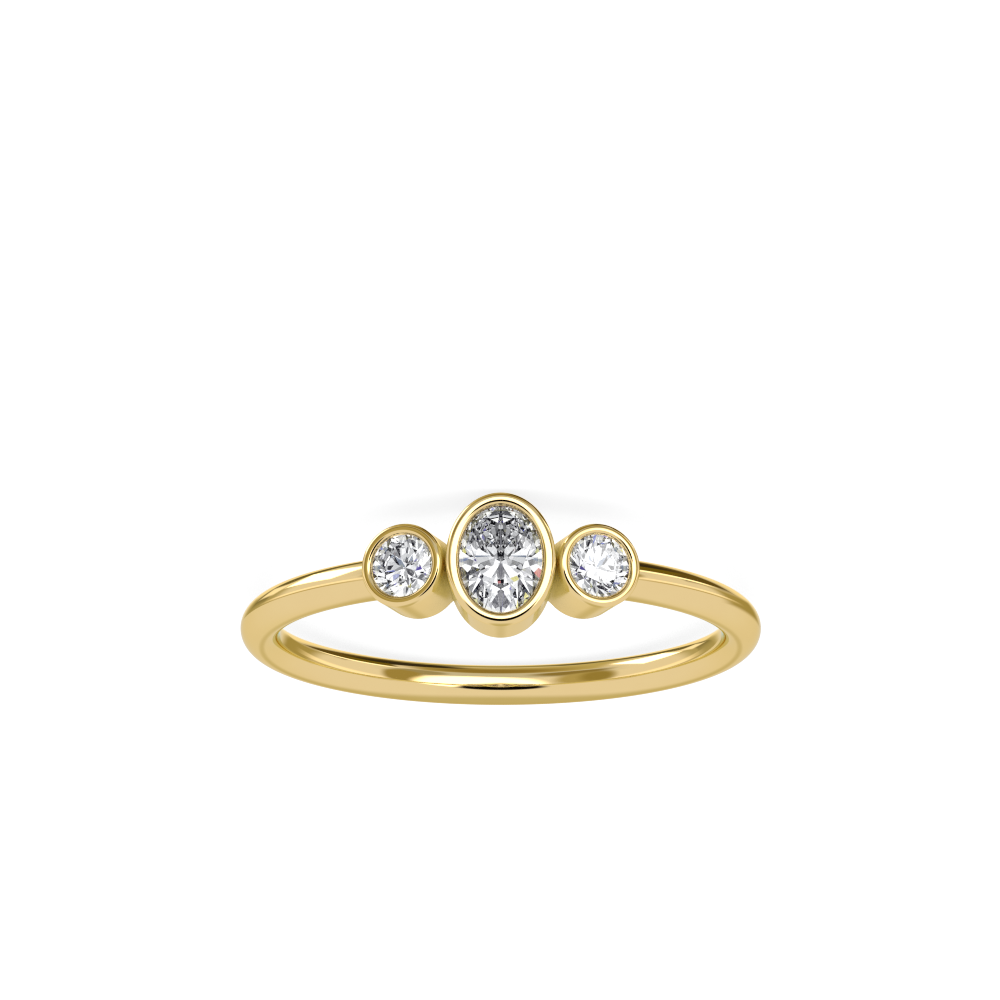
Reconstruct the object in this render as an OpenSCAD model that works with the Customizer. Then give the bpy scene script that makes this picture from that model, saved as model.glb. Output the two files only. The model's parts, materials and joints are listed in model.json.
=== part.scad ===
// Three stone ring: a polished yellow gold ring with an oval brilliant between two round ones,
// each set flush in its own plain tube bezel on a round wire band.
//
// Every piece is drawn in the ring's own frame (finger axis along Z, head towards -Y) and then
// laid down by resting(), so that the ring lies on its side on the plane Z = 0: the back of
// the band and the lower inner edge of the oval bezel touch, which tips the ring by about 5 degrees.
// Lengths in millimetres, angles in degrees.

/* [Finger] */
// Radius of the finger hole; every radius along the head is counted from the same centre.
finger_r = 8.65;          // [7.8:0.05:10.5] 8.65 is a US size 7, the middle of a woman's sizes

/* [Band] */
// Radius of the round wire.
wire_r = 0.8;             // [0.6:0.05:1.2] 1.6 mm wire: 40 px of the photograph at the sides
// How far the polished inner land is cut into the wire, so that the finger hole has a true wall.
land_depth = 0.035;       // [0.02:0.005:0.08] hand polishing leaves a land about 0.5 mm wide

/* [Oval bezel] */
// Half width of the opening that shows the oval stone, measured along the band.
oval_open = 1.58;         // [1.2:0.01:2.5] 82 px across
// Half of the difference between the opening's length and width.
oval_stretch = 0.26;      // [0:0.01:0.6] the opening is 3.16 by 4.20, so the stone is 4.5 by 3.4
// Width of the domed rim, from the opening to the outer wall.
oval_rim = 0.52;          // [0.35:0.01:0.8] 14 px
// Distance of the rim's crown from the centre of the finger hole.
oval_top = 11.54;         // [10.8:0.01:13] the head stands 2.1 above the band's line
// How much the wall draws in from the rim to the foot.
oval_taper = 0.12;        // [0:0.01:0.5] on each side of the foot

/* [Round bezels] */
// Radius of the opening that shows each round stone.
round_open = 1.22;        // [0.8:0.01:2] 62 px across
// Width of the domed rim.
round_rim = 0.42;         // [0.3:0.01:0.7] 11 px
// Distance of the rims' crowns from the centre of the finger hole.
round_top = 11.16;        // [10.5:0.01:12.5] 0.4 lower than the oval's rim
// How much the wall draws in from the rim to the foot.
round_taper = 0.02;       // [0:0.01:0.4] on each side of the foot
// Angle of each round bezel from the oval one, around the finger hole.
side_angle = 20;          // [17:0.5:26] the rims leave a gap of 0.15, and the walls are soldered below it

/* [Feet] */
// Radius of the rounding around the foot of each bezel, where it meets the finger.
foot_round = 0.5;         // [0.1:0.05:0.55] a sharp foot would show 3 px lower

/* [Seats] */
// How far the stones' girdles sit outside the openings, under the burnished lips.
lip = 0.13;               // [0.08:0.01:0.25]
// Gap between each stone and its seat.
seat_gap = 0.03;          // [0.02:0.01:0.05]
// How far the open back is narrower than the opening.
ledge = 0.2;              // [0.1:0.01:0.35]

/* [Stones] */
// Size of the table, as a part of the girdle.
table_ratio = 0.57;       // [0.5:0.01:0.65] usual for brilliants
// Height of the crown, as a part of the stone's width.
crown_ratio = 0.15;       // [0.1:0.01:0.18]
// Thickness of the girdle, as a part of the stone's width.
girdle_ratio = 0.03;      // [0.02:0.005:0.05]
// Depth of the pavilion, as a part of the stone's width.
pavilion_ratio = 0.43;    // [0.4:0.01:0.46]

/* [Output] */

/* [Hidden] */
$fn = 96;

band_r = finger_r - land_depth + wire_r;      // centre line of the wire
half_oval = 36.8699;                          // angle of the 3-4-5 triangle between the oval's arcs
end_r = oval_open - oval_stretch;             // opening's radius at the oval's two ends
side_r = end_r + 5 * oval_stretch;            // and along its two sides
foot = finger_r - 0.15;                       // walls are drawn down to here, then bored away

oval_w = oval_open + lip;                     // half width of the oval stone
oval_l = oval_w + 2 * oval_stretch;           // its half length
round_r = round_open + lip;                   // radius of the round stones
oval_outer = 0.22;                            // roundings of the rims, outside and inside
oval_inner = 0.15;
round_outer = 0.17;
round_inner = 0.13;
crown_angle = 42;                             // the steepest crown facets lean a little less
lip_edge = 0.02;                              // height of the lip's plain inner edge
lip_drop = lip_edge + lip * tan(crown_angle) + seat_gap / cos(crown_angle);
oval_girdle = oval_top - oval_inner - lip_drop;        // top edges of the girdles
round_girdle = round_top - round_inner - lip_drop;
table_w = oval_girdle + 2 * oval_w * crown_ratio;

// The ring rests on the wire's back and on the rounding of the oval bezel's foot.
foot_w = foot + foot_round;
foot_v = oval_open + oval_rim + 2 * oval_stretch - oval_taper - foot_round;
rest_tilt = atan2(foot_v, foot_w + band_r)
            - asin((wire_r - foot_round) / norm([foot_w + band_r, foot_v]));
rest_lift = band_r * sin(rest_tilt) + wire_r;
table_v = oval_l * table_ratio;
rest_shift = (table_w * cos(rest_tilt) + table_v * sin(rest_tilt)
              - band_r * cos(rest_tilt) - wire_r) / 2;

// Lays the ring down, with the middle of its outline over the origin.
module resting() {
  translate([0, rest_shift, rest_lift]) rotate([-rest_tilt, 0, 0]) children();
}

// Turns a piece drawn with its axis up (x along the band, y along the finger) to the head.
module at_head(angle) {
  rotate([0, 0, angle]) rotate([90, 0, 0]) children();
}

// Section of a bezel: x counts outwards from the opening, y is the distance from the ring's centre.
// The rim is domed; below it come the lip, the girdle's groove, the ledge and the open back.
module bezel_section(rim, top, outer, inner, taper, girdle, width) {
  groove = lip + seat_gap;
  crown = tan(crown_angle);
  seat = girdle - girdle_ratio * width - seat_gap * (sqrt(2) - 1);
  difference() {
    union() {
      translate([rim - outer, top - outer]) circle(outer);
      translate([inner, top - inner]) circle(inner);
      translate([inner, top - 0.4]) square([rim - outer - inner, 0.4]);
      translate([rim - taper - foot_round, foot + foot_round]) circle(foot_round);
      polygon([[0, top - inner], [inner, top - inner], [rim - outer, top - outer], [rim, top - outer],
               [rim - taper, foot + foot_round], [rim - taper - foot_round, foot + foot_round],
               [rim - taper - foot_round, foot], [-ledge, foot], [-ledge, seat], [0, seat]]);
    }
    polygon([[-0.5, top - inner - lip_edge], [0, top - inner - lip_edge],
             [groove, top - inner - lip_edge - groove * crown], [groove, seat],
             [-ledge, seat - groove - ledge], [-0.5, seat - groove - ledge]]);
  }
}

// One quarter of the oval bezel: half of an end arc and half of a side arc, meeting on a 3-4-5 line.
module oval_quarter() {
  translate([0, 3 * oval_stretch, 0]) rotate([0, 0, half_oval])
    rotate_extrude(angle = 90 - half_oval) translate([end_r, 0])
      bezel_section(oval_rim, oval_top, oval_outer, oval_inner, oval_taper, oval_girdle, 2 * oval_w);
  translate([-4 * oval_stretch, 0, 0])
    rotate_extrude(angle = half_oval) translate([side_r, 0])
      bezel_section(oval_rim, oval_top, oval_outer, oval_inner, oval_taper, oval_girdle, 2 * oval_w);
}

module oval_bezel() {
  for (mx = [0, 1], my = [0, 1])
    mirror([mx, 0, 0]) mirror([0, my, 0]) oval_quarter();
}

// A brilliant cut, girdle's top edge at z = 0: half width w along x, half length l along y.
// Table, 8 stars, 8 kites, 16 upper halves, 16 girdle flats, 16 lower halves and 8 mains.
module brilliant(w, l) {
  rt = table_ratio;
  c = 2 * w * crown_ratio;
  g = 2 * w * girdle_ratio;
  p = 2 * w * pavilion_ratio;
  rs = rt * cos(22.5) + 0.5 * (1 - rt * cos(22.5));
  rl = 0.23;
  zs = c * (1 - rs * cos(22.5)) / (1 - rt);
  zl = -g - p * (1 - rl * cos(22.5));
  points = concat(
    [for (k = [0:7]) [w * rt * cos(45 * k), l * rt * sin(45 * k), c]],
    [for (k = [0:7]) [w * rs * cos(45 * k + 22.5), l * rs * sin(45 * k + 22.5), zs]],
    [for (j = [0:15]) [w * cos(22.5 * j), l * sin(22.5 * j), 0]],
    [for (j = [0:15]) [w * cos(22.5 * j), l * sin(22.5 * j), -g]],
    [for (k = [0:7]) [w * rl * cos(45 * k + 22.5), l * rl * sin(45 * k + 22.5), zl]],
    [[0, 0, -g - p]]);
  faces = concat(
    [[7, 6, 5, 4, 3, 2, 1, 0]],
    [for (k = [0:7]) [k, (k + 1) % 8, 8 + k]],
    [for (k = [0:7]) [k, 8 + k, 16 + 2 * k]],
    [for (k = [0:7]) [k, 16 + 2 * k, 8 + (k + 7) % 8]],
    [for (k = [0:7]) [8 + k, 17 + 2 * k, 16 + 2 * k]],
    [for (k = [0:7]) [8 + k, 16 + (2 * k + 2) % 16, 17 + 2 * k]],
    [for (j = [0:15]) [16 + j, 16 + (j + 1) % 16, 32 + (j + 1) % 16]],
    [for (j = [0:15]) [16 + j, 32 + (j + 1) % 16, 32 + j]],
    [for (k = [0:7]) [48 + k, 32 + 2 * k, 33 + 2 * k]],
    [for (k = [0:7]) [48 + k, 33 + 2 * k, 32 + (2 * k + 2) % 16]],
    [for (k = [0:7]) [56, 32 + 2 * k, 48 + k]],
    [for (k = [0:7]) [56, 48 + (k + 7) % 8, 32 + 2 * k]]);
  polyhedron(points, faces, convexity = 2);
}

// Band, oval bezel and round bezels, soldered into one piece and bored for the finger.
module band_and_bezels() {
  color([0.83, 0.62, 0.24]) resting() difference() {
    union() {
      rotate([0, 0, side_angle - 90]) rotate_extrude(angle = 360 - 2 * side_angle)
        translate([band_r, 0]) circle(wire_r);
      at_head(0) oval_bezel();
      for (side = [-1, 1])
        at_head(side * side_angle) rotate_extrude() translate([round_open, 0])
          bezel_section(round_rim, round_top, round_outer, round_inner, round_taper,
                        round_girdle, 2 * round_r);
    }
    translate([0, 0, -6]) cylinder(h = 12, r = finger_r);
    for (side = [-1, 1])
      at_head(side * side_angle) translate([0, 0, foot - 0.5])
        cylinder(h = round_top - foot, r = round_open - ledge);
  }
}

module oval_stone() {
  color([0.93, 0.96, 1, 0.35]) resting() at_head(0)
    translate([0, 0, oval_girdle]) brilliant(oval_w, oval_l);
}

module round_stone(side) {
  color([0.93, 0.96, 1, 0.35]) resting() at_head(side * side_angle)
    translate([0, 0, round_girdle]) brilliant(round_r, round_r);
}

band_and_bezels();
oval_stone();
round_stone(1);  // round_stone_left
round_stone(-1);  // round_stone_right
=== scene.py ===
"""Looks of the three stone ring: polished yellow gold, an oval brilliant and two round ones.

The ring lies on its side on a pale floor. Every piece is worked out in the ring's own axes, in
millimetres: x runs along the band at the head, y along the finger and z out through the head.
"""

import json
import logging
import math
from dataclasses import dataclass
from enum import Enum

import bpy
import numpy as np
from mathutils import Matrix


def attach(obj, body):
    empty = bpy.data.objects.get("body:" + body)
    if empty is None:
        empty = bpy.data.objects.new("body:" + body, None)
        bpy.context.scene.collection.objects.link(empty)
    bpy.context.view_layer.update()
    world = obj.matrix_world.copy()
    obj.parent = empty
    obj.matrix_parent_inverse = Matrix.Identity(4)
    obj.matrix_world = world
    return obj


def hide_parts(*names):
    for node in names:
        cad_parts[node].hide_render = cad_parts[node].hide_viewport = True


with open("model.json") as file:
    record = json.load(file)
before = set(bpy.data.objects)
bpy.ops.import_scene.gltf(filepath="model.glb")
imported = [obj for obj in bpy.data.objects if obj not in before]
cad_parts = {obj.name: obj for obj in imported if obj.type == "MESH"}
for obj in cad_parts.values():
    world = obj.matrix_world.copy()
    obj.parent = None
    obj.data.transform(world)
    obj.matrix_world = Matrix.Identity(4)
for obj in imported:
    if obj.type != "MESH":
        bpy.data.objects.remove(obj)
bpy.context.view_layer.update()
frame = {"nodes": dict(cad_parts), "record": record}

MM = 0.001
METAL_NODE = "band_and_bezels"
NEARLY_ZERO = 1e-6
LOG = logging.getLogger("three_stone_ring")


def linear(hex_colour: str, strength: float = 1.0) -> tuple[float, float, float, float]:
    """Turns an sRGB hex colour into linear light.

    Args:
        hex_colour: such as "#FFE3A5".
        strength: what the linear colour is multiplied by.

    Returns:
        Red, green, blue and an alpha of 1.
    """
    srgb = np.array([int(hex_colour[i:i + 2], 16) for i in (1, 3, 5)]) / 255.0
    light = np.where(srgb <= 0.04045, srgb / 12.92, ((srgb + 0.055) / 1.055) ** 2.4) * strength
    return (*light.tolist(), 1.0)


def add(tree: bpy.types.NodeTree, kind: str, inputs: dict | None = None, **settings) -> bpy.types.Node:
    """Adds one node to a tree.

    Args:
        tree: the node tree of a material or of the world.
        kind: the node's class, such as "ShaderNodeMath".
        inputs: by input name or number, the socket that feeds it or its fixed value.
        **settings: the node's own properties.

    Returns:
        The new node.
    """
    node = tree.nodes.new(kind)
    for name, value in settings.items():
        setattr(node, name, value)
    for key, value in (inputs or {}).items():
        if isinstance(value, bpy.types.NodeSocket):
            tree.links.new(value, node.inputs[key])
        else:
            node.inputs[key].default_value = value
    return node


def smooth_max(a: np.ndarray, b: np.ndarray, blend: float) -> np.ndarray:
    """The larger of a and b, rounded where they cross: the mean of both plus half of the
    square root of their squared difference and blend squared.

    Args:
        a: first values.
        b: second values.
        blend: width of the rounding, in the units of the values.

    Returns:
        The rounded maximum.
    """
    return 0.5 * (a + b + np.sqrt((a - b) ** 2 + blend ** 2))


def solder_fillet(gap: np.ndarray, blend: float) -> np.ndarray:
    """How far solder raises a surface beside another piece: a quarter of blend times the square of
    (1 - gap / blend), so that both surfaces curve into each other where they meet.

    Args:
        gap: distance of each point from the other piece, negative inside it.
        blend: distance at which the fillet starts.

    Returns:
        The rise of each point along its normal.
    """
    return blend / 4 * np.clip(1 - np.maximum(gap, 0.0) / blend, 0.0, 1.0) ** 2


@dataclass(frozen=True)
class RingAxes:
    """The ring's own axes in the row frame, read from the finger hole's mount."""

    centre: np.ndarray
    axes: np.ndarray
    finger_r: float

    @classmethod
    def from_record(cls, record: dict) -> "RingAxes":
        """Reads the finger hole: its middle, its axis and its radius.

        Args:
            record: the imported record.

        Returns:
            The axes, in millimetres.
        """
        hole = next(m for m in record["mounts"] if m["name"] == "finger_hole")
        along_band = np.array([1.0, 0.0, 0.0])
        along_finger = np.array(hole["axis"]) / np.linalg.norm(hole["axis"])
        to_head = np.cross(along_band, along_finger)
        axes = np.array([along_band, along_finger, to_head])
        return cls(np.array(hole["pos_m"]) / MM, axes, hole["dims"]["r_mm"])

    def to_row(self, points: np.ndarray) -> np.ndarray:
        """Carries points from the ring's axes, in millimetres, to the row frame, in metres."""
        return (self.centre + points @ self.axes) * MM


@dataclass(frozen=True)
class Corner:
    """A corner of a closed outline, with the radius of the arc that rounds it, in millimetres."""

    out: float
    up: float
    radius: float


def rounded_outline(corners: list[Corner], step: float, arc_steps: int = 7) -> np.ndarray:
    """Walks a closed outline of straight edges whose corners are rounded by tangent arcs.

    At a corner whose edges turn by an angle, the arc starts and ends radius * tan(turn / 2) from
    the corner. Along the edges between the arcs the points are evenly spaced.

    Args:
        corners: the outline's corners, in order.
        step: longest distance between points on the straight edges.
        arc_steps: number of chords that each arc gets.

    Returns:
        An array of points, two columns wide, without a repeated last point.
    """
    at = np.array([[c.out, c.up] for c in corners])
    radii = np.array([c.radius for c in corners])
    before = at - np.roll(at, 1, axis=0)
    before /= np.linalg.norm(before, axis=1, keepdims=True)
    after = np.roll(before, -1, axis=0)
    crossed = before[:, 0] * after[:, 1] - before[:, 1] * after[:, 0]
    turn = np.arctan2(crossed, (before * after).sum(axis=1))
    cut = radii * np.tan(np.abs(turn) / 2)
    start = at - before * cut[:, None]
    normal = np.stack([-before[:, 1], before[:, 0]], axis=1) * np.sign(turn)[:, None]
    middle = start + normal * radii[:, None]
    walked = []
    for k in range(len(corners)):
        angle = np.linspace(0.0, turn[k], arc_steps + 1)
        spoke = start[k] - middle[k]
        arc = middle[k] + np.stack([spoke[0] * np.cos(angle) - spoke[1] * np.sin(angle),
                                    spoke[0] * np.sin(angle) + spoke[1] * np.cos(angle)], axis=1)
        to_next = start[(k + 1) % len(corners)]
        count = max(2, math.ceil(np.linalg.norm(to_next - arc[-1]) / step))
        part = np.linspace(0.0, 1.0, count, endpoint=False)[1:, None]
        walked += [arc, arc[-1] + (to_next - arc[-1]) * part]
    return np.concatenate(walked)


def surface_mesh(name: str, points: np.ndarray, uv: np.ndarray, recess: np.ndarray,
                 open_ends: bool) -> bpy.types.Object:
    """Makes a closed mesh from a grid of points.

    Columns always join up into rings. Rows join up too, or else both end rings are closed with a
    fan of triangles around their middle. If the volume comes out negative, each face is walked
    backwards, so that all of them point outwards: its corner i becomes first + last - i.

    Args:
        name: the object's name.
        points: rows by columns by three, in metres, in the row frame.
        uv: rows + 1 by columns + 1 by two, in millimetres along and around the surface.
        recess: rows by columns, 1 in the recesses: satin where the polishing wheel doesn't reach, and
            darkened as painted shade.
        open_ends: True for a rod with two ends, False for a closed loop.

    Returns:
        The object, at the origin, shaded smooth.
    """
    rows, columns = points.shape[:2]
    spans = rows - 1 if open_ends else rows
    r, c = np.meshgrid(np.arange(spans), np.arange(columns), indexing="ij")
    r, c = r.ravel(), c.ravel()
    corner_rows = np.stack([r, r + 1, r + 1, r], axis=1)
    corner_columns = np.stack([c, c, c + 1, c + 1], axis=1)
    quads = (corner_rows % rows) * columns + corner_columns % columns
    loops = quads.ravel()
    loop_uv = uv[corner_rows, corner_columns].reshape(-1, 2)
    totals = np.full(len(quads), 4)
    verts = points.reshape(-1, 3)
    if open_ends:
        ring = np.arange(columns)
        tips = len(verts) + np.arange(2)
        verts = np.concatenate([verts, points[[0, -1]].mean(axis=1)])
        first = np.stack([ring, (ring + 1) % columns, np.full(columns, tips[0])], axis=1)
        last_ring = (rows - 1) * columns + ring
        last_next = (rows - 1) * columns + (ring + 1) % columns
        last = np.stack([last_next, last_ring, np.full(columns, tips[1])], axis=1)
        loops = np.concatenate([loops, first.ravel(), last.ravel()])
        loop_uv = np.concatenate([loop_uv, np.repeat(uv[[0, -1], 0], 3 * columns, axis=0)])
        totals = np.concatenate([totals, np.full(2 * columns, 3)])
    starts = np.concatenate([[0], np.cumsum(totals)[:-1]])
    corners = verts[quads]
    if np.einsum("ij,ij->i", corners[:, 0], np.cross(corners[:, 1], corners[:, 2])).sum() < 0:
        backwards = np.repeat(2 * starts + totals - 1, totals) - np.arange(len(loops))
        loops, loop_uv = loops[backwards], loop_uv[backwards]
    mesh = bpy.data.meshes.new(name)
    mesh.vertices.add(len(verts))
    mesh.vertices.foreach_set("co", verts.ravel())
    mesh.loops.add(len(loops))
    mesh.loops.foreach_set("vertex_index", loops.astype(np.int32))
    mesh.polygons.add(len(totals))
    mesh.polygons.foreach_set("loop_start", starts.astype(np.int32))
    layer = mesh.uv_layers.new(name="surface_mm")
    layer.uv.foreach_set("vector", loop_uv.astype(np.float32).ravel())
    mesh.update(calc_edges=True)
    tucked = mesh.attributes.new("recess", "FLOAT", "POINT")
    tucked.data.foreach_set("value", np.append(recess.ravel(), np.zeros(len(verts) - recess.size)))
    mesh.validate()
    mesh.shade_smooth()
    made = bpy.data.objects.new(name, mesh)
    bpy.context.scene.collection.objects.link(made)
    return made


@dataclass(frozen=True)
class PolishedGold:
    """14 carat yellow gold, cast, soldered and polished on a felt wheel with rouge.

    It mirrors the studio. The wheel leaves a faint waviness in the mirror, and hairlines that run
    along each piece, finer than a pixel here, so they are drawn about ten times too coarse. Where
    it doesn't reach, beside the solder, the gold stays satin, and its colour is darkened there as
    painted shade in the recesses. Names in _detail are octaves of noise, and the roughness rises
    where the hairlines' noise is in hairline_range.
    """

    colour: str = "#FFE3A5"
    worn_colour: str = "#FCDDA0"
    edge_colour: str = "#F6EBC8"
    roughness: float = 0.045
    cloud_mm: float = 1.6
    cloud_detail: float = 3.0
    hairline_mm: float = 0.12
    hairline_length_mm: float = 2.5
    hairline_detail: float = 4.0
    hairline_fineness: float = 0.6
    hairline_range: tuple[float, float] = (0.35, 0.75)
    hairline_roughness: float = 0.03
    recess_roughness: float = 0.38
    # painted shade: the colour that the gold is darkened to in the recesses beside the solder
    painted_recess_shade: str = "#E9D29C"
    wave_mm: float = 1.1
    wave_detail: float = 1.0
    wave_height_mm: float = 0.0006

    def make(self) -> bpy.types.Material:
        """Builds the material.

        Returns:
            A node material that reads the pieces' UV map in millimetres and Object coordinates.
        """
        material = bpy.data.materials.new("polished_yellow_gold_14_carat")
        material.use_nodes = True
        tree = material.node_tree
        tree.nodes.clear()
        where = add(tree, "ShaderNodeTexCoord")
        surface = add(tree, "ShaderNodeUVMap", uv_map="surface_mm")
        clouds = add(tree, "ShaderNodeTexNoise", {"Vector": where.outputs["Object"],
                                                  "Scale": 1 / (self.cloud_mm * MM),
                                                  "Detail": self.cloud_detail})
        stretch = (1 / self.hairline_length_mm, 1 / self.hairline_mm, 1.0)
        along = add(tree, "ShaderNodeMapping", {"Vector": surface.outputs["UV"], "Scale": stretch})
        hairlines = add(tree, "ShaderNodeTexNoise", {"Vector": along.outputs["Vector"], "Scale": 1.0,
                                                     "Detail": self.hairline_detail,
                                                     "Roughness": self.hairline_fineness})
        tint = add(tree, "ShaderNodeMix", {0: clouds.outputs["Fac"], 6: linear(self.colour),
                                           7: linear(self.worn_colour)}, data_type="RGBA")
        low, high = self.hairline_range
        polished = add(tree, "ShaderNodeMapRange", {"Value": hairlines.outputs["Fac"],
                                                    "From Min": low, "From Max": high,
                                                    "To Min": self.roughness,
                                                    "To Max": self.roughness + self.hairline_roughness})
        tucked = add(tree, "ShaderNodeAttribute", attribute_name="recess").outputs["Fac"]
        satin = add(tree, "ShaderNodeMath", {0: tucked, 1: self.recess_roughness}, operation="MULTIPLY")
        rough = add(tree, "ShaderNodeMath", {0: polished.outputs[0], 1: satin.outputs[0]}, operation="ADD")
        # Painted shade: in the recesses the gold's colour is mixed towards a darker one.
        tint = add(tree, "ShaderNodeMix", {0: tucked, 6: tint.outputs[2], 7: linear(self.painted_recess_shade)},
                   data_type="RGBA")
        waves = add(tree, "ShaderNodeTexNoise", {"Vector": where.outputs["Object"],
                                                 "Scale": 1 / (self.wave_mm * MM),
                                                 "Detail": self.wave_detail})
        bump = add(tree, "ShaderNodeBump", {"Height": waves.outputs["Fac"], "Strength": 1.0,
                                            "Distance": self.wave_height_mm * MM})
        shader = add(tree, "ShaderNodeBsdfPrincipled", {"Base Color": tint.outputs[2], "Metallic": 1.0,
                                                        "Roughness": rough.outputs[0],
                                                        "Specular Tint": linear(self.edge_colour),
                                                        "Normal": bump.outputs["Normal"]})
        add(tree, "ShaderNodeOutputMaterial", {"Surface": shader.outputs["BSDF"]})
        return material


@dataclass(frozen=True)
class CutDiamond:
    """Near colourless diamond, cut and polished to flat facets.

    Its high index throws most of the light back out through the crown, as a mosaic of bright and
    dark patches. A breath of colour drifts through the stone, too weak to name.
    """

    colour: str = "#FFFFFF"
    drift_colour: str = "#FBFCFF"
    drift_mm: float = 1.2
    drift_detail: float = 2.0
    index: float = 2.417

    def make(self) -> bpy.types.Material:
        """Builds the material.

        Returns:
            A node material for the stones.
        """
        material = bpy.data.materials.new("cut_diamond_near_colourless")
        material.use_nodes = True
        tree = material.node_tree
        tree.nodes.clear()
        where = add(tree, "ShaderNodeTexCoord")
        drift = add(tree, "ShaderNodeTexNoise", {"Vector": where.outputs["Object"],
                                                 "Scale": 1 / (self.drift_mm * MM),
                                                 "Detail": self.drift_detail})
        tint = add(tree, "ShaderNodeMix", {0: drift.outputs["Fac"], 6: linear(self.colour),
                                           7: linear(self.drift_colour)}, data_type="RGBA")
        shader = add(tree, "ShaderNodeBsdfPrincipled", {"Base Color": tint.outputs[2], "Roughness": 0.0,
                                                        "IOR": self.index, "Transmission Weight": 1.0})
        add(tree, "ShaderNodeOutputMaterial", {"Surface": shader.outputs["BSDF"]})
        return material


@dataclass
class Band:
    """The round wire, from the wall of one round bezel round to the wall of the other."""

    ring: RingAxes
    soldered_to: tuple["Bezel", ...] = ()
    wire_r: float = 0.8
    land_depth: float = 0.035
    land_edge: float = 0.08
    end_angle: float = 27.4
    solder: float = 0.26
    crowding: float = 0.82
    around: int = 112
    along: int = 760

    @property
    def band_r(self) -> float:
        """Radius of the wire's centre line."""
        return self.ring.finger_r - self.land_depth + self.wire_r

    def outside(self, points: np.ndarray) -> np.ndarray:
        """Distance of points in the ring's axes from the wire's surface, negative inside it."""
        out = np.hypot(points[..., 0], points[..., 2])
        return np.hypot(out - self.band_r, points[..., 1]) - self.wire_r

    def place(self, turn: np.ndarray, section: np.ndarray, radius: float | np.ndarray) -> np.ndarray:
        """Points at a radius around the wire's centre line, kept out of the finger hole.

        Args:
            turn: angle around the finger, from the head.
            section: angle around the wire, from its outer side.
            radius: distance from the centre line, one for all points or one for each.

        Returns:
            Points in the ring's axes.
        """
        reach = smooth_max(self.band_r + radius * np.cos(section), self.ring.finger_r, self.land_edge)
        return np.stack(np.broadcast_arrays(reach * np.sin(turn), radius * np.sin(section),
                                            reach * np.cos(turn)), axis=-1)

    def build(self, gold: bpy.types.Material) -> bpy.types.Object:
        """Sweeps the wire's section around the finger.

        The section is a circle around band_r. Where it would come inside the finger hole, its
        distance from the finger's axis is held at the hole's radius: that is the polished land.
        The sections crowd towards the two ends: each lies at u - crowding * sin(2 pi u) / (2 pi)
        of the way, for evenly spaced u.

        Args:
            gold: the metal's material.

        Returns:
            The band.
        """
        u = np.linspace(0.0, 1.0, self.along)
        way = u - self.crowding * np.sin(2 * np.pi * u) / (2 * np.pi)
        turn = np.radians(self.end_angle + way * (360.0 - 2 * self.end_angle))[:, None]
        section = np.linspace(0.0, 2 * np.pi, self.around, endpoint=False)[None, :]
        points = self.place(turn, section, self.wire_r)
        rise = sum(solder_fillet(bezel.outside(points), self.solder) for bezel in self.soldered_to)
        points = self.place(turn, section, self.wire_r + rise)
        uv = np.stack(np.meshgrid(np.append(turn, turn[-1]) * self.band_r,
                                  np.linspace(0.0, 2 * np.pi, self.around + 1) * self.wire_r,
                                  indexing="ij"), axis=-1)
        # The recess beside the solder is satin, and its colour is darkened there as painted shade.
        recess = np.clip(rise / self.solder * 2, 0.0, 1.0)
        made = surface_mesh("band", self.ring.to_row(points), uv, recess, open_ends=True)
        return dress(made, gold, METAL_NODE)


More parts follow.
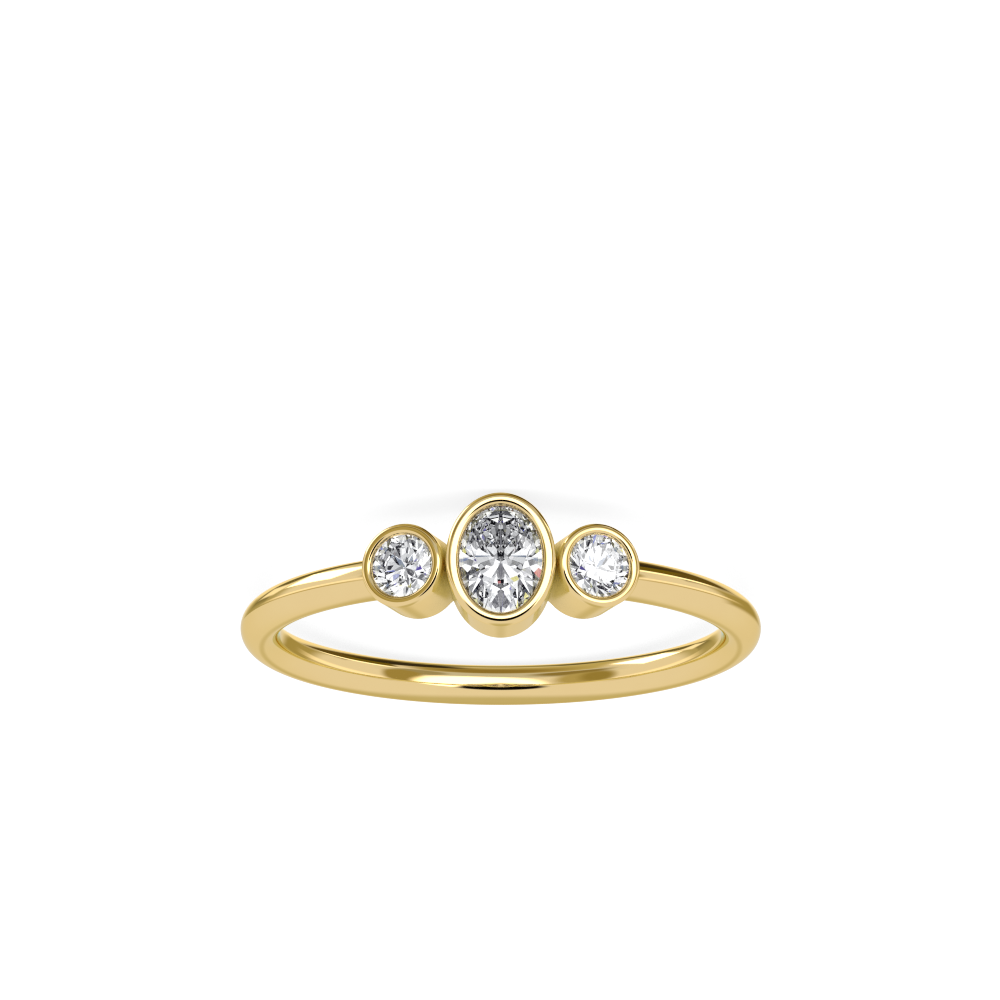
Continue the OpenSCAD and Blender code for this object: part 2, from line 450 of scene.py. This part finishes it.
@dataclass
class Bezel:
    """A plain tube setting: a domed rim burnished over the stone, a seat under it, an open back.

    Lengths are in millimetres, and heights are distances from the ring's centre along the
    bezel's own axis. The outer wall starts at wall_start of the rim's width and counts in full
    wall_fade further out, and the bore reaches up to bore_end below the rim's crown.
    """

    ring: RingAxes
    name: str
    angle: float
    half_width: float
    half_length: float
    rim: float
    top: float
    outer_round: float
    inner_round: float
    taper: float
    lip: float = 0.13
    seat_gap: float = 0.03
    ledge: float = 0.2
    lip_edge: float = 0.02
    crown_angle: float = 42.0
    girdle_ratio: float = 0.03
    foot_depth: float = 0.15
    foot_round: float = 0.5
    fine_round: float = 0.015
    bore_round: float = 0.03
    bore_end: float = 0.5
    wall_start: float = 0.6
    wall_fade: float = 0.3
    solder: float = 0.22
    polished: float = 0.12
    satin_and_shade_reach: float = 1.1
    step: float = 0.05
    around: int = 224

    def corners(self) -> list[Corner]:
        """The wall's section: outwards from the opening, and up from the ring's centre."""
        groove = self.lip + self.seat_gap
        crown_lean = math.radians(self.crown_angle)
        crown = math.tan(crown_lean)
        under_lip = self.top - self.inner_round - self.lip_edge
        drop = self.lip_edge + self.lip * crown + self.seat_gap / math.cos(crown_lean)
        girdle = self.top - self.inner_round - drop
        stone_width = 2 * (self.half_width + self.lip)
        seat = girdle - self.girdle_ratio * stone_width - self.seat_gap * (math.sqrt(2) - 1)
        foot = self.ring.finger_r - self.foot_depth
        draw = self.taper / (self.top - self.outer_round - foot - self.foot_round)
        return [
            Corner(0.0, under_lip, self.fine_round / 2),
            Corner(groove, under_lip - groove * crown, self.fine_round),
            Corner(groove, seat, self.fine_round),
            Corner(-self.ledge, seat - groove - self.ledge, self.fine_round),
            Corner(-self.ledge, foot, self.fine_round),
            Corner(self.rim - self.taper - draw * self.foot_round, foot, self.foot_round),
            Corner(self.rim + draw * self.outer_round, self.top, self.outer_round),
            Corner(0.0, self.top, self.inner_round),
        ]

    def to_own(self, points: np.ndarray) -> np.ndarray:
        """Carries points from the ring's axes to the bezel's: its z leans by its angle."""
        lean = math.radians(self.angle)
        x, y, z = np.moveaxis(points, -1, 0)
        return np.stack([x * math.cos(lean) - z * math.sin(lean), y,
                         z * math.cos(lean) + x * math.sin(lean)], axis=-1)

    def to_ring(self, points: np.ndarray) -> np.ndarray:
        """Carries points from the bezel's own axes back to the ring's."""
        lean = math.radians(self.angle)
        x, y, z = np.moveaxis(points, -1, 0)
        return np.stack([x * math.cos(lean) + z * math.sin(lean), y,
                         z * math.cos(lean) - x * math.sin(lean)], axis=-1)

    def outside(self, points: np.ndarray) -> np.ndarray:
        """Distance of points from the bezel's outer wall, negative inside it.

        The outline is taken as four arcs. With s half of what the opening is longer than wide, the
        end arcs' centres are 3 s up and down, the side arcs' centres 4 s across, and they meet on
        the line between those centres. Points on the far side of the finger are clear of the
        bezel, and get its height as a distance.

        Args:
            points: points in the ring's axes.

        Returns:
            One distance for each point.
        """
        x, y, z = np.moveaxis(self.to_own(points), -1, 0)
        x, y = np.abs(x), np.abs(y)
        s = (self.half_length - self.half_width) / 2
        at_end = 4 * (y - 3 * s) > 3 * x
        from_end = np.hypot(x, y - 3 * s) - (self.half_width - s)
        from_side = np.hypot(x + 4 * s, y) - (self.half_width + 4 * s)
        foot = self.ring.finger_r - self.foot_depth
        wall = self.rim - self.taper * np.clip((self.top - z) / (self.top - foot), 0.0, 1.0)
        return np.where(z > 0, np.where(at_end, from_end, from_side) - wall, self.top)

    def clear_bore(self, points: np.ndarray) -> np.ndarray:
        """Moves points that lie in this bezel's round bore out to its wall, away from its axis."""
        own = self.to_own(points)
        bore = self.half_width - self.ledge
        reach = np.hypot(own[..., 0], own[..., 1])
        inside = (own[..., 2] < self.top - self.bore_end) & (reach < bore)
        own[..., :2] *= np.where(inside, bore / np.maximum(reach, NEARLY_ZERO), 1.0)[..., None]
        return self.to_ring(own)

    def carry(self, out: np.ndarray, up: np.ndarray) -> np.ndarray:
        """Carries a section around the opening, bored for the finger.

        The opening is an ellipse. At a direction t its outward normal is (cos t, sin t), its point
        is (a a cos t, b b sin t) / sqrt(a a cos t cos t + b b sin t sin t), and the section's
        distance outwards is laid off along the normal, so the rim is equally wide all round.
        A point deeper than the finger's cylinder is brought up to it.

        Args:
            out: distances outwards from the opening, one row for each direction or one for all.
            up: heights of the same points.

        Returns:
            Points in the ring's axes, a row for each direction.
        """
        t = np.linspace(0.0, 2 * np.pi, self.around, endpoint=False)[:, None]
        a, b = self.half_width, self.half_length
        size = np.sqrt((a * np.cos(t)) ** 2 + (b * np.sin(t)) ** 2)
        x = a * a * np.cos(t) / size + out * np.cos(t)
        y = b * b * np.sin(t) / size + out * np.sin(t)
        z = smooth_max(up, np.sqrt(self.ring.finger_r ** 2 - x ** 2), self.bore_round)
        return self.to_ring(np.stack(np.broadcast_arrays(x, y, z), axis=-1))

    def build(self, gold: bpy.types.Material, beside: tuple["Band | Bezel", ...],
              bored_by: tuple["Bezel", ...] = ()) -> bpy.types.Object:
        """Carries the section around the opening and solders the wall to what is beside it.

        The outer wall is raised by the solder of the pieces beside it, and its recess grows from
        0 to 1 as the gap to them closes and the depth under the rim grows. The recess is satin,
        because the wheel polishes only the open parts, and its colour is darkened there as painted shade.

        Args:
            gold: the metal's material.
            beside: pieces that are soldered to the wall.
            bored_by: bezels whose bores cut into this one's foot.

        Returns:
            The bezel.
        """
        section = rounded_outline(self.corners(), self.step)
        out, up = section[None, :, 0], section[None, :, 1]
        on_wall = np.clip((out - self.wall_start * self.rim) / (self.wall_fade * self.rim), 0.0, 1.0)
        points = self.carry(out, up)
        rise = on_wall * sum(solder_fillet(piece.outside(points), self.solder) for piece in beside)
        points = self.carry(out + rise, up)
        gap = np.min([piece.outside(points) for piece in beside], axis=0)
        for bezel in bored_by:
            points = bezel.clear_bore(points)
        walked = np.linalg.norm(np.diff(section, axis=0, append=section[:1]), axis=1)
        round_the_opening = np.linspace(0.0, 2 * np.pi, self.around + 1)
        uv = np.stack(np.meshgrid(round_the_opening * (self.half_width + self.half_length) / 2,
                                  np.append(0.0, np.cumsum(walked)), indexing="ij"), axis=-1)
        deep = np.clip((self.top - self.outer_round - up - self.polished) / self.polished, 0.0, 1.0)
        close = np.clip(1 - gap / self.satin_and_shade_reach, 0.0, 1.0)
        # The recess is satin, and its colour is darkened there as painted shade.
        recess = on_wall * deep * close * close * (3 - 2 * close)
        made = surface_mesh(self.name, self.ring.to_row(points), uv, recess, open_ends=False)
        return dress(made, gold, METAL_NODE)


def dress(made: bpy.types.Object, material: bpy.types.Material, node: str) -> bpy.types.Object:
    """Gives a new piece its material, attaches it to its body, and hides the CAD node it stands for.

    Args:
        made: the piece.
        material: its finish.
        node: the CAD node that it stands for.

    Returns:
        The piece.
    """
    made.data.materials.append(material)
    made.visible_transmission = False
    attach(made, "root")
    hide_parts(node)
    return made


@dataclass
class Stones:
    """The three brilliants. Their facets are the CAD solids' own."""

    names: tuple[str, ...] = ("oval_stone", "round_stone_left", "round_stone_right")

    def dress(self, diamond: bpy.types.Material) -> list[bpy.types.Object]:
        """Gives each stone its material.

        Args:
            diamond: the stones' material.

        Returns:
            The stones.
        """
        stones = [frame["nodes"][name] for name in self.names]
        for stone in stones:
            stone.data.materials.clear()
            stone.data.materials.append(diamond)
        return stones


class Shape(Enum):
    """Outline of a panel of the studio."""

    BOX = "box"
    DISC = "disc"
    ARC = "arc"


@dataclass(frozen=True)
class Panel:
    """A softbox or a flag around the ring.

    Its place is in degrees from the camera's direction: x to the right of the picture and y up.
    An arc's x is the angle around that direction, from the picture's right, and its y the angle
    away from it. Half sizes are in degrees too, and the edge is soft over that part of them.
    """

    what: str
    x: float
    y: float
    half_x: float
    half_y: float
    colour: str
    strength: float = 1.0
    turn: float = 0.0
    soft: float = 0.15
    shape: Shape = Shape.BOX


@dataclass
class Camera:
    """The photograph's camera, in millimetres and degrees.

    The finger's axis points up from the floor where the photograph has it pointing down, so the
    camera is turned over: the picture then has the photograph's way up. It sees from clip_near to
    clip_far times its distance.
    """

    ring: RingAxes
    distance: float = 347.4
    above_ring_plane: float = 13.7166
    aim_up: float = 5.096
    aim_right: float = -0.029
    lens: float = 318.5
    sensor: float = 36.0
    clip_near: float = 0.1
    clip_far: float = 20.0

    def directions(self) -> np.ndarray:
        """Unit vectors to the picture's right, up and towards the camera, in the row frame."""
        rise = math.radians(self.above_ring_plane)
        towards = self.ring.axes[2] * math.cos(rise) + self.ring.axes[1] * math.sin(rise)
        up = self.ring.axes[2] * math.sin(rise) - self.ring.axes[1] * math.cos(rise)
        return np.array([np.cross(up, towards), up, towards])

    def place(self) -> None:
        """Puts the scene's camera on its line, aimed a little above the ring's centre."""
        right, up, towards = self.directions()
        eye = self.ring.centre + towards * self.distance
        aim = self.ring.centre + up * self.aim_up + right * self.aim_right
        back = (eye - aim) / np.linalg.norm(eye - aim)
        side = np.cross(up, back) / np.linalg.norm(np.cross(up, back))
        data = bpy.data.cameras.new("camera")
        data.lens = self.lens
        data.sensor_width = self.sensor
        data.clip_start = self.distance * MM * self.clip_near
        data.clip_end = self.distance * MM * self.clip_far
        camera = bpy.data.objects.new("camera", data)
        turned = np.eye(4)
        turned[:3, :3] = np.stack([side, np.cross(back, side), back], axis=1)
        turned[:3, 3] = eye * MM
        camera.matrix_world = Matrix(turned.tolist())
        bpy.context.scene.collection.objects.link(camera)
        bpy.context.scene.camera = camera


@dataclass(frozen=True)
class Sight:
    """Where a ray of the world goes, as sockets in degrees.

    The direction to the camera is 0. The first socket counts right and up from it, the second
    around and away from it, and the last is the angle away from it alone.
    """

    at: bpy.types.NodeSocket
    around: bpy.types.NodeSocket
    away: bpy.types.NodeSocket


@dataclass
class Studio:
    """Floor and light. The gold, the crowns and the stones' insides each see their own panels.

    Gold is seen in gold beyond ray depth echo_start. Its light moves by echo_share to echo_light
    and is multiplied by echo_tint, for each such bounce up to echo_bounces. The random numbers in
    card_range give greys from 0 to card_contrast, which fall to card_dimmest of that between the
    two angles of card_falloff.
    """

    directions: np.ndarray
    floor_half_m: float = 1.5
    floor_colour: str = "#FCFCFC"
    floor_glow: float = 0.86
    backdrop: str = "#FFFFFF"
    even_light: float = 0.3
    echo_start: float = 2.0
    echo_bounces: float = 2.0
    echo_light: str = "#E2E4D8"
    echo_share: float = 0.7
    echo_tint: tuple[float, float, float] = (0.88, 1.08, 1.38)
    gold_base: str = "#E7E7E7"
    gold_panels: tuple[Panel, ...] = (
        Panel("table below the ring", 0, -112, 28, 44, "#C6C3A4", soft=0.45, shape=Shape.DISC),
        Panel("far wall", 90, 164, 75, 15, "#FFFBEC", 1.05, soft=0.3, shape=Shape.ARC),
        Panel("far wall's shade", 90, 134, 26, 12, "#A3A078", soft=0.5, shape=Shape.ARC),
        Panel("left corner", 170, 138, 18, 20, "#B4B08E", soft=0.4, shape=Shape.ARC),
        Panel("right corner", 8, 138, 16, 20, "#A8A070", soft=0.4, shape=Shape.ARC),
        Panel("upper left flag", 134, 140, 34, 8, "#6F6C4C", soft=0.4, shape=Shape.ARC),
        Panel("upper room", -6, 88, 50, 28, "#BDB685", soft=0.15),
        Panel("upper room's depth", 4, 80, 38, 24, "#8E7D42", soft=0.6, shape=Shape.DISC),
        Panel("flag over the upper room", -31, 128, 10, 7, "#6A6644", soft=0.5, shape=Shape.DISC),
        Panel("upper right flag", 50, 122, 23, 19, "#62552A", soft=0.25, shape=Shape.ARC),
        Panel("flag's blackest part", 66, 115, 15, 14, "#3A3426", 0.9, soft=0.3, shape=Shape.ARC),
        Panel("ceiling near the camera", 0, 46, 62, 13, "#C6CBD0", soft=0.25),
        Panel("ceiling's left side", -39, 44, 22, 11, "#8C8050", soft=0.35, shape=Shape.DISC),
        Panel("ceiling's right side", 44, 45, 15, 13, "#9E9A80", soft=0.3, shape=Shape.DISC),
        Panel("shade at the table's right edge", 92, 4, 28, 3, "#C4BA92", soft=0.6),
        Panel("table's right edge", 92, 13, 30, 4, "#FFFAF0", 1.15, soft=0.6),
        Panel("shade at the table's left edge", -92, 2, 28, 3, "#C4BA92", soft=0.6),
        Panel("table's left edge", -92, 11, 30, 4, "#FFFAF0", 1.15, soft=0.6),
        Panel("right card", 54, 27, 12, 17, "#9E925A", soft=0.25, shape=Shape.DISC),
        Panel("left card's pale border", -46, 24, 17, 14, "#B2A978", soft=0.3, shape=Shape.DISC),
        Panel("left card", -53, 25, 10, 12, "#968A50", soft=0.45, shape=Shape.DISC),
        Panel("near softbox", 12, 18, 34, 18, "#FFFCF8", 2.6, soft=0.18, shape=Shape.DISC),
        Panel("left softbox", -84, 70, 16, 26, "#FFFFFF", 3.0, turn=-28, soft=0.15),
        Panel("left streak", -120, 62, 8, 20, "#FFFFFF", 1.1, turn=-28, soft=0.4),
        Panel("upper right flag's lower part", 70, 76, 14, 13, "#6E6220", soft=0.2),
        Panel("right streak", 84, 58, 24, 4.5, "#FFFFF4", 1.5, soft=0.4),
        Panel("camera", 0, 3, 23, 19, "#1E1A14", 0.3, soft=0.18, shape=Shape.DISC),
    )
    card_degrees: float = 9.0
    card_darkest: str = "#100E1C"
    card_brightest: str = "#FDFEFF"
    card_range: tuple[float, float] = (0.28, 0.72)
    card_contrast: float = 1.16
    card_falloff: tuple[float, float] = (55.0, 95.0)
    card_dimmest: float = 0.48
    gem_panels: tuple[Panel, ...] = (
        Panel("high grey card", 0, 70, 14, 9, "#8C8C92", soft=0.2, shape=Shape.DISC),
        Panel("window", 0, 41, 25, 12, "#FFFFFF", 1.5, soft=0.1),
        Panel("grey bar", 0, 26, 4.5, 9, "#7C7C82", soft=0.1),
        Panel("low window", 0, -14, 27, 9, "#FFFFFF", 1.45, soft=0.1),
        Panel("blue grey card right", 16, 4, 6, 5, "#8C98AC", soft=0.1),
        Panel("blue grey card left", -16, 4, 6, 5, "#8C98AC", soft=0.1),
        Panel("right window", 42, 25, 13, 16, "#FFFFFF", 1.5, soft=0.1),
        Panel("left black card", -42, 14, 7, 9, "#2A2732", soft=0.1),
        Panel("violet gel", -22, 31, 6, 5, "#7A70D0", soft=0.15, shape=Shape.DISC),
        Panel("small violet gel", -31, -19, 5, 4, "#6C5CB8", soft=0.15, shape=Shape.DISC),
        Panel("blue gel", -30, 2, 5, 4, "#8E9AF0", soft=0.15, shape=Shape.DISC),
        Panel("small yellow gel", 38, 34, 5, 4, "#FFF8A8", 1.2, soft=0.15, shape=Shape.DISC),
        Panel("deep violet gel", 33, -20, 4, 4, "#5A4C9C", soft=0.15, shape=Shape.DISC),
        Panel("rose gel", 31, 49, 5, 5, "#F09A9A", soft=0.15, shape=Shape.DISC),
        Panel("yellow gel", 60, 41, 6, 5, "#FFFAA0", 1.1, soft=0.15, shape=Shape.DISC),
        Panel("pale yellow gel", -60, 41, 6, 5, "#F6F8B8", 1.1, soft=0.15, shape=Shape.DISC),
        Panel("camera", 0, 1, 7, 6, "#18181E", soft=0.15, shape=Shape.DISC),
    )
    crown_base: str = "#3A3A40"
    crown_panels: tuple[Panel, ...] = (
        Panel("right near softbox", 40, 25, 20, 17, "#FFFFFF", 2.6, soft=0.3),
    )

    def make_floor(self) -> None:
        """Lays a plain pale floor under the ring, outside the object's bodies, hidden from glossy and
        transmission rays.
        """
        half = self.floor_half_m
        corners = [(-half, -half, 0), (half, -half, 0), (half, half, 0), (-half, half, 0)]
        mesh = bpy.data.meshes.new("floor")
        mesh.from_pydata(corners, [], [(0, 1, 2, 3)])
        floor = bpy.data.objects.new("floor", mesh)
        bpy.context.scene.collection.objects.link(floor)
        material = bpy.data.materials.new("opal_acrylic_lit_from_below")
        material.use_nodes = True
        tree = material.node_tree
        tree.nodes.clear()
        colour = linear(self.floor_colour)
        shader = add(tree, "ShaderNodeBsdfPrincipled", {"Base Color": colour, "Roughness": 1.0,
                                                        "Specular IOR Level": 0.0,
                                                        "Emission Color": colour,
                                                        "Emission Strength": self.floor_glow})
        add(tree, "ShaderNodeOutputMaterial", {"Surface": shader.outputs["BSDF"]})
        mesh.materials.append(material)
        floor.visible_glossy = False
        floor.visible_transmission = False

    def look(self, tree: bpy.types.NodeTree) -> Sight:
        """Turns the direction of a ray into degrees around the direction to the camera.

        Args:
            tree: the world's nodes.

        Returns:
            The ray's direction, counted in three ways.
        """
        ray = add(tree, "ShaderNodeTexCoord").outputs["Generated"]
        right, up, towards = [add(tree, "ShaderNodeVectorMath", {0: ray, 1: tuple(axis.tolist())},
                                  operation="DOT_PRODUCT").outputs["Value"] for axis in self.directions]
        away = add(tree, "ShaderNodeMath", {0: towards}, operation="ARCCOSINE").outputs[0]
        away = add(tree, "ShaderNodeMath", {0: away}, operation="DEGREES").outputs[0]
        across = add(tree, "ShaderNodeCombineXYZ", {0: right, 1: up}).outputs[0]
        unit = add(tree, "ShaderNodeVectorMath", {0: across}, operation="NORMALIZE").outputs[0]
        at = add(tree, "ShaderNodeVectorMath", {0: unit, "Scale": away}, operation="SCALE").outputs[0]
        turned = add(tree, "ShaderNodeMath", {0: up, 1: right}, operation="ARCTAN2").outputs[0]
        turned = add(tree, "ShaderNodeMath", {0: turned}, operation="DEGREES").outputs[0]
        around = add(tree, "ShaderNodeCombineXYZ", {0: turned, 1: away}).outputs[0]
        return Sight(at, around, away)

    def hang(self, tree: bpy.types.NodeTree, sight: Sight,
             seen: bpy.types.NodeSocket | tuple[float, float, float, float],
             panels: tuple[Panel, ...]) -> bpy.types.NodeSocket:
        """Lays panels over what is seen without them, each over those before it.

        Args:
            tree: the world's nodes.
            sight: the ray's direction.
            seen: the colour behind them all, one for all directions or a socket.
            panels: softboxes and flags.

        Returns:
            The colour that comes from each direction.
        """
        for panel in panels:
            place = sight.around if panel.shape is Shape.ARC else sight.at
            local = add(tree, "ShaderNodeMapping", {"Vector": place, "Location": (panel.x, panel.y, 0.0),
                                                    "Rotation": (0.0, 0.0, math.radians(panel.turn)),
                                                    "Scale": (panel.half_x, panel.half_y, 1.0)},
                        vector_type="TEXTURE", label=panel.what).outputs[0]
            if panel.shape is Shape.DISC:
                far = add(tree, "ShaderNodeVectorMath", {0: local}, operation="LENGTH").outputs["Value"]
            else:
                sides = add(tree, "ShaderNodeVectorMath", {0: local}, operation="ABSOLUTE").outputs[0]
                parts = add(tree, "ShaderNodeSeparateXYZ", {0: sides}).outputs
                far = add(tree, "ShaderNodeMath", {0: parts[0], 1: parts[1]},
                          operation="MAXIMUM").outputs[0]
            cover = add(tree, "ShaderNodeMapRange", {"Value": far, "From Min": 1 + panel.soft,
                                                     "From Max": 1 - panel.soft},
                        interpolation_type="SMOOTHSTEP").outputs[0]
            seen = add(tree, "ShaderNodeMix", {0: cover, 6: seen, 7: linear(panel.colour, panel.strength)},
                       data_type="RGBA").outputs[2]
        return seen

    def cards(self, tree: bpy.types.NodeTree, sight: Sight) -> bpy.types.NodeSocket:
        """Hangs a patchwork of grey cards around the stones, the same to the left and the right.

        Each card is a cell of a Voronoi pattern on the direction, and its random number sets its
        grey. Far from the camera the cards grow darker.

        Args:
            tree: the world's nodes.
            sight: the ray's direction.

        Returns:
            The grey that comes from each direction.
        """
        folded = add(tree, "ShaderNodeVectorMath", {0: sight.at}, operation="ABSOLUTE").outputs[0]
        across = add(tree, "ShaderNodeSeparateXYZ", {0: folded}).outputs[0]
        height = add(tree, "ShaderNodeSeparateXYZ", {0: sight.at}).outputs[1]
        place = add(tree, "ShaderNodeCombineXYZ", {0: across, 1: height}).outputs[0]
        cells = add(tree, "ShaderNodeTexVoronoi", {"Vector": place, "Scale": 1 / self.card_degrees},
                    voronoi_dimensions="2D").outputs["Color"]
        number = add(tree, "ShaderNodeSeparateColor", {0: cells}).outputs[0]
        lowest, highest = self.card_range
        grey = add(tree, "ShaderNodeMapRange", {"Value": number, "From Min": lowest, "From Max": highest,
                                                "To Min": 0.0, "To Max": self.card_contrast}).outputs[0]
        near, far = self.card_falloff
        dim = add(tree, "ShaderNodeMapRange", {"Value": sight.away, "From Min": near, "From Max": far,
                                               "To Min": 1.0, "To Max": self.card_dimmest}).outputs[0]
        grey = add(tree, "ShaderNodeMath", {0: grey, 1: dim}, operation="MULTIPLY").outputs[0]
        return add(tree, "ShaderNodeMix", {0: grey, 6: linear(self.card_darkest),
                                           7: linear(self.card_brightest)},
                   data_type="RGBA", clamp_factor=False).outputs[2]

    def echoed(self, tree: bpy.types.NodeTree, mirrored: bpy.types.NodeSocket,
               depth: bpy.types.NodeSocket) -> bpy.types.NodeSocket:
        """Gives gold that is seen in gold a more even light, and a cooler one.

        This keeps the narrow gaps between the bezels from turning orange.

        Args:
            tree: the world's nodes.
            mirrored: the colour that gold mirrors at once.
            depth: how often the ray has bounced.

        Returns:
            The colour that gold mirrors after any number of bounces.
        """
        past = add(tree, "ShaderNodeMath", {0: depth, 1: self.echo_start},
                   operation="SUBTRACT").outputs[0]
        again = add(tree, "ShaderNodeClamp", {"Value": past, "Min": 0.0,
                                              "Max": self.echo_bounces}).outputs[0]
        share = add(tree, "ShaderNodeMath", {0: again, 1: self.echo_share},
                    operation="MULTIPLY").outputs[0]
        evened = add(tree, "ShaderNodeMix", {0: share, 6: mirrored, 7: linear(self.echo_light)},
                     data_type="RGBA", clamp_factor=True).outputs[2]
        powers = [add(tree, "ShaderNodeMath", {0: part, 1: again}, operation="POWER").outputs[0]
                  for part in self.echo_tint]
        tint = add(tree, "ShaderNodeCombineColor", dict(enumerate(powers))).outputs[0]
        return add(tree, "ShaderNodeMix", {0: 1.0, 6: evened, 7: tint},
                   data_type="RGBA", blend_type="MULTIPLY").outputs[2]

    def light(self) -> None:
        """Builds the world, where the kind of ray chooses what is seen.

        A glossy ray sees the gold's studio, a singular ray, off a facet's outside, sees what the
        crowns mirror, and a ray through a stone sees the stones' tent. The camera sees the
        backdrop, and the floor gets even light.
        """
        world = bpy.data.worlds.new("studio")
        bpy.context.scene.world = world
        world.use_nodes = True
        world.cycles.sampling_method = "NONE"
        tree = world.node_tree
        tree.nodes.clear()
        kind = add(tree, "ShaderNodeLightPath").outputs
        sight = self.look(tree)
        mirrored = self.hang(tree, sight, linear(self.gold_base), self.gold_panels)
        crowned = self.hang(tree, sight, linear(self.crown_base), self.crown_panels)
        inside = self.hang(tree, sight, self.cards(tree, sight), self.gem_panels)
        choices = (("Is Glossy Ray", self.echoed(tree, mirrored, kind["Ray Depth"])),
                   ("Is Singular Ray", crowned),
                   ("Is Transmission Ray", inside),
                   ("Is Camera Ray", linear(self.backdrop)))
        shown = add(tree, "ShaderNodeBackground", {"Color": linear("#FFFFFF", self.even_light)})
        for test, colour in choices:
            chosen = add(tree, "ShaderNodeBackground", {"Color": colour})
            shown = add(tree, "ShaderNodeMixShader", {0: kind[test], 1: shown.outputs[0],
                                                      2: chosen.outputs[0]})
        add(tree, "ShaderNodeOutputWorld", {"Surface": shown.outputs[0]})


def set_render() -> None:
    """Sets how light travels and how it is shown: plain colours, and many bounces for the stones."""
    scene = bpy.context.scene
    scene.view_settings.view_transform = "Standard"
    scene.view_settings.look = "None"
    cycles = scene.cycles
    cycles.max_bounces = 20
    cycles.glossy_bounces = 16
    cycles.transmission_bounces = 18
    cycles.diffuse_bounces = 3
    cycles.caustics_reflective = False
    cycles.caustics_refractive = False
    cycles.sample_clamp_indirect = 6.0
    cycles.filter_width = 1.2


def main() -> None:
    """Builds the camera, the studio, the metal and the stones, and reports each piece."""
    logging.basicConfig(level=logging.INFO, format="%(name)s: %(message)s")
    set_render()
    ring = RingAxes.from_record(frame["record"])
    camera = Camera(ring)
    camera.place()
    studio = Studio(camera.directions())
    studio.make_floor()
    studio.light()
    gold = PolishedGold().make()
    oval = Bezel(ring, "oval_bezel", angle=0.0, half_width=1.58, half_length=2.1, rim=0.52, top=11.54,
                 outer_round=0.23, inner_round=0.19, taper=0.12, satin_and_shade_reach=1.8)
    rounds = tuple(Bezel(ring, f"round_bezel_{side}", angle=angle, half_width=1.22, half_length=1.22,
                         rim=0.42, top=11.16, outer_round=0.18, inner_round=0.16, taper=0.02)
                   for side, angle in (("left", 20.0), ("right", -20.0)))
    band = Band(ring, rounds)
    metal = [band.build(gold), oval.build(gold, rounds, bored_by=rounds)]
    metal += [bezel.build(gold, (band, oval)) for bezel in rounds]
    for made in metal:
        LOG.info("%s: %d faces", made.name, len(made.data.polygons))
    for stone in Stones().dress(CutDiamond().make()):
        LOG.info("%s: %d facets", stone.name, len(stone.data.polygons))


if __name__ == "__main__":
    main()
